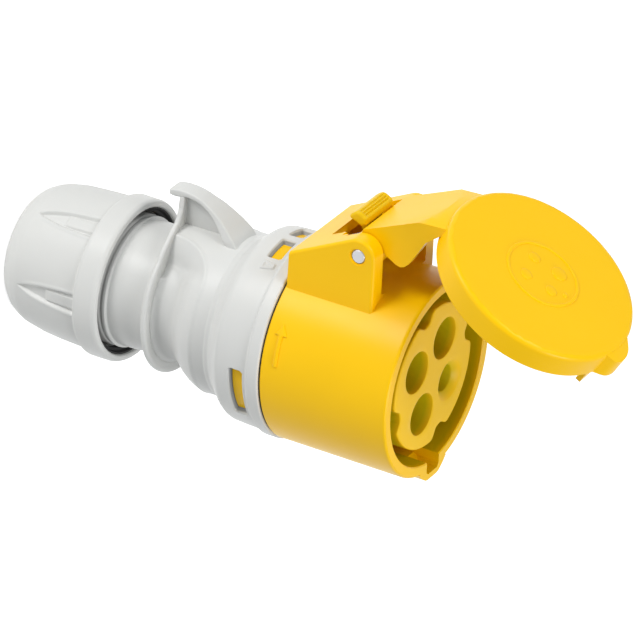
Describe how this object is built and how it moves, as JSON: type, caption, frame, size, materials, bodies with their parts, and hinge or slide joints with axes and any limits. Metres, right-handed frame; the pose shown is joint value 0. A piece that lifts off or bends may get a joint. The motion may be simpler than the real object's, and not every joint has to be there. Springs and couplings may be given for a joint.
{
  "type": "industrial power coupler",
  "caption": "Industrial power socket for a cable end, with a sprung hinged lid, bayonet-joined housings, a hanging hook and a fluted cable gland nut.",
  "frame": {"origin": "middle of the gland nut's flat rear end, where the part stands", "axes": "+Z along the axis and out of the socket's mouth, +Y towards the side of the lid's hinge, +X to the right of both"},
  "size_m": [0.0584, 0.0862, 0.1852],
  "materials": {
    "grey_plastic": "satin",
    "yellow_plastic": "satin",
    "dark_plastic": "matt",
    "black_rubber": "matt",
    "brass": "bright",
    "steel": "brushed"
  },
  "bodies": {
    "housing": {"rear_housing": "grey_plastic", "front_housing": "yellow_plastic", "contact_carrier": "yellow_plastic", "carrier_plate": "dark_plastic", "carrier_screws": "steel", "retaining_ring": "steel", "contact_l1": "brass", "contact_l2": "brass", "contact_l3": "brass", "contact_pe": "brass", "contact_springs": "steel", "terminal_screws": "steel", "housing_seal": "black_rubber", "hinge_pin": "steel", "lid_spring": "steel"},
    "clamp": {"clamp_ring": "dark_plastic", "gland_seal": "black_rubber", "thrust_washer": "dark_plastic"},
    "nut": {"gland_nut": "grey_plastic"},
    "lid": {"lid": "yellow_plastic", "lid_gasket": "black_rubber"},
    "slider": {"lock_slider": "yellow_plastic", "slider_spring": "steel"}
  },
  "joints": [
    {"name": "lid_hinge", "type": "hinge", "parent": "housing", "child": "lid", "pos_m": [0, 0.0392, 0.11275], "axis": [-1, 0, 0], "range_deg": [-59.1, 0]},
    {"name": "gland_slide", "type": "slide", "parent": "housing", "child": "clamp", "axis": [0, 0, 1], "range_m": [-0.001, 0.002]},
    {"name": "nut_turn", "type": "hinge", "parent": "clamp", "child": "nut", "pos_m": [0, 0, 0.02], "axis": [0, 0, 1], "range_deg": [-180.5, 360.5]},
    {"name": "slider_slide", "type": "slide", "parent": "housing", "child": "slider", "axis": [0, -0.448, -0.894], "range_m": [0, 0.005], "stiffness_N_per_m": 300, "springref_m": -0.002}
  ],
  "couplings": [
    {"joint": "nut_turn", "follows": "gland_slide", "rad_per_m": 3141.6}
  ]
}
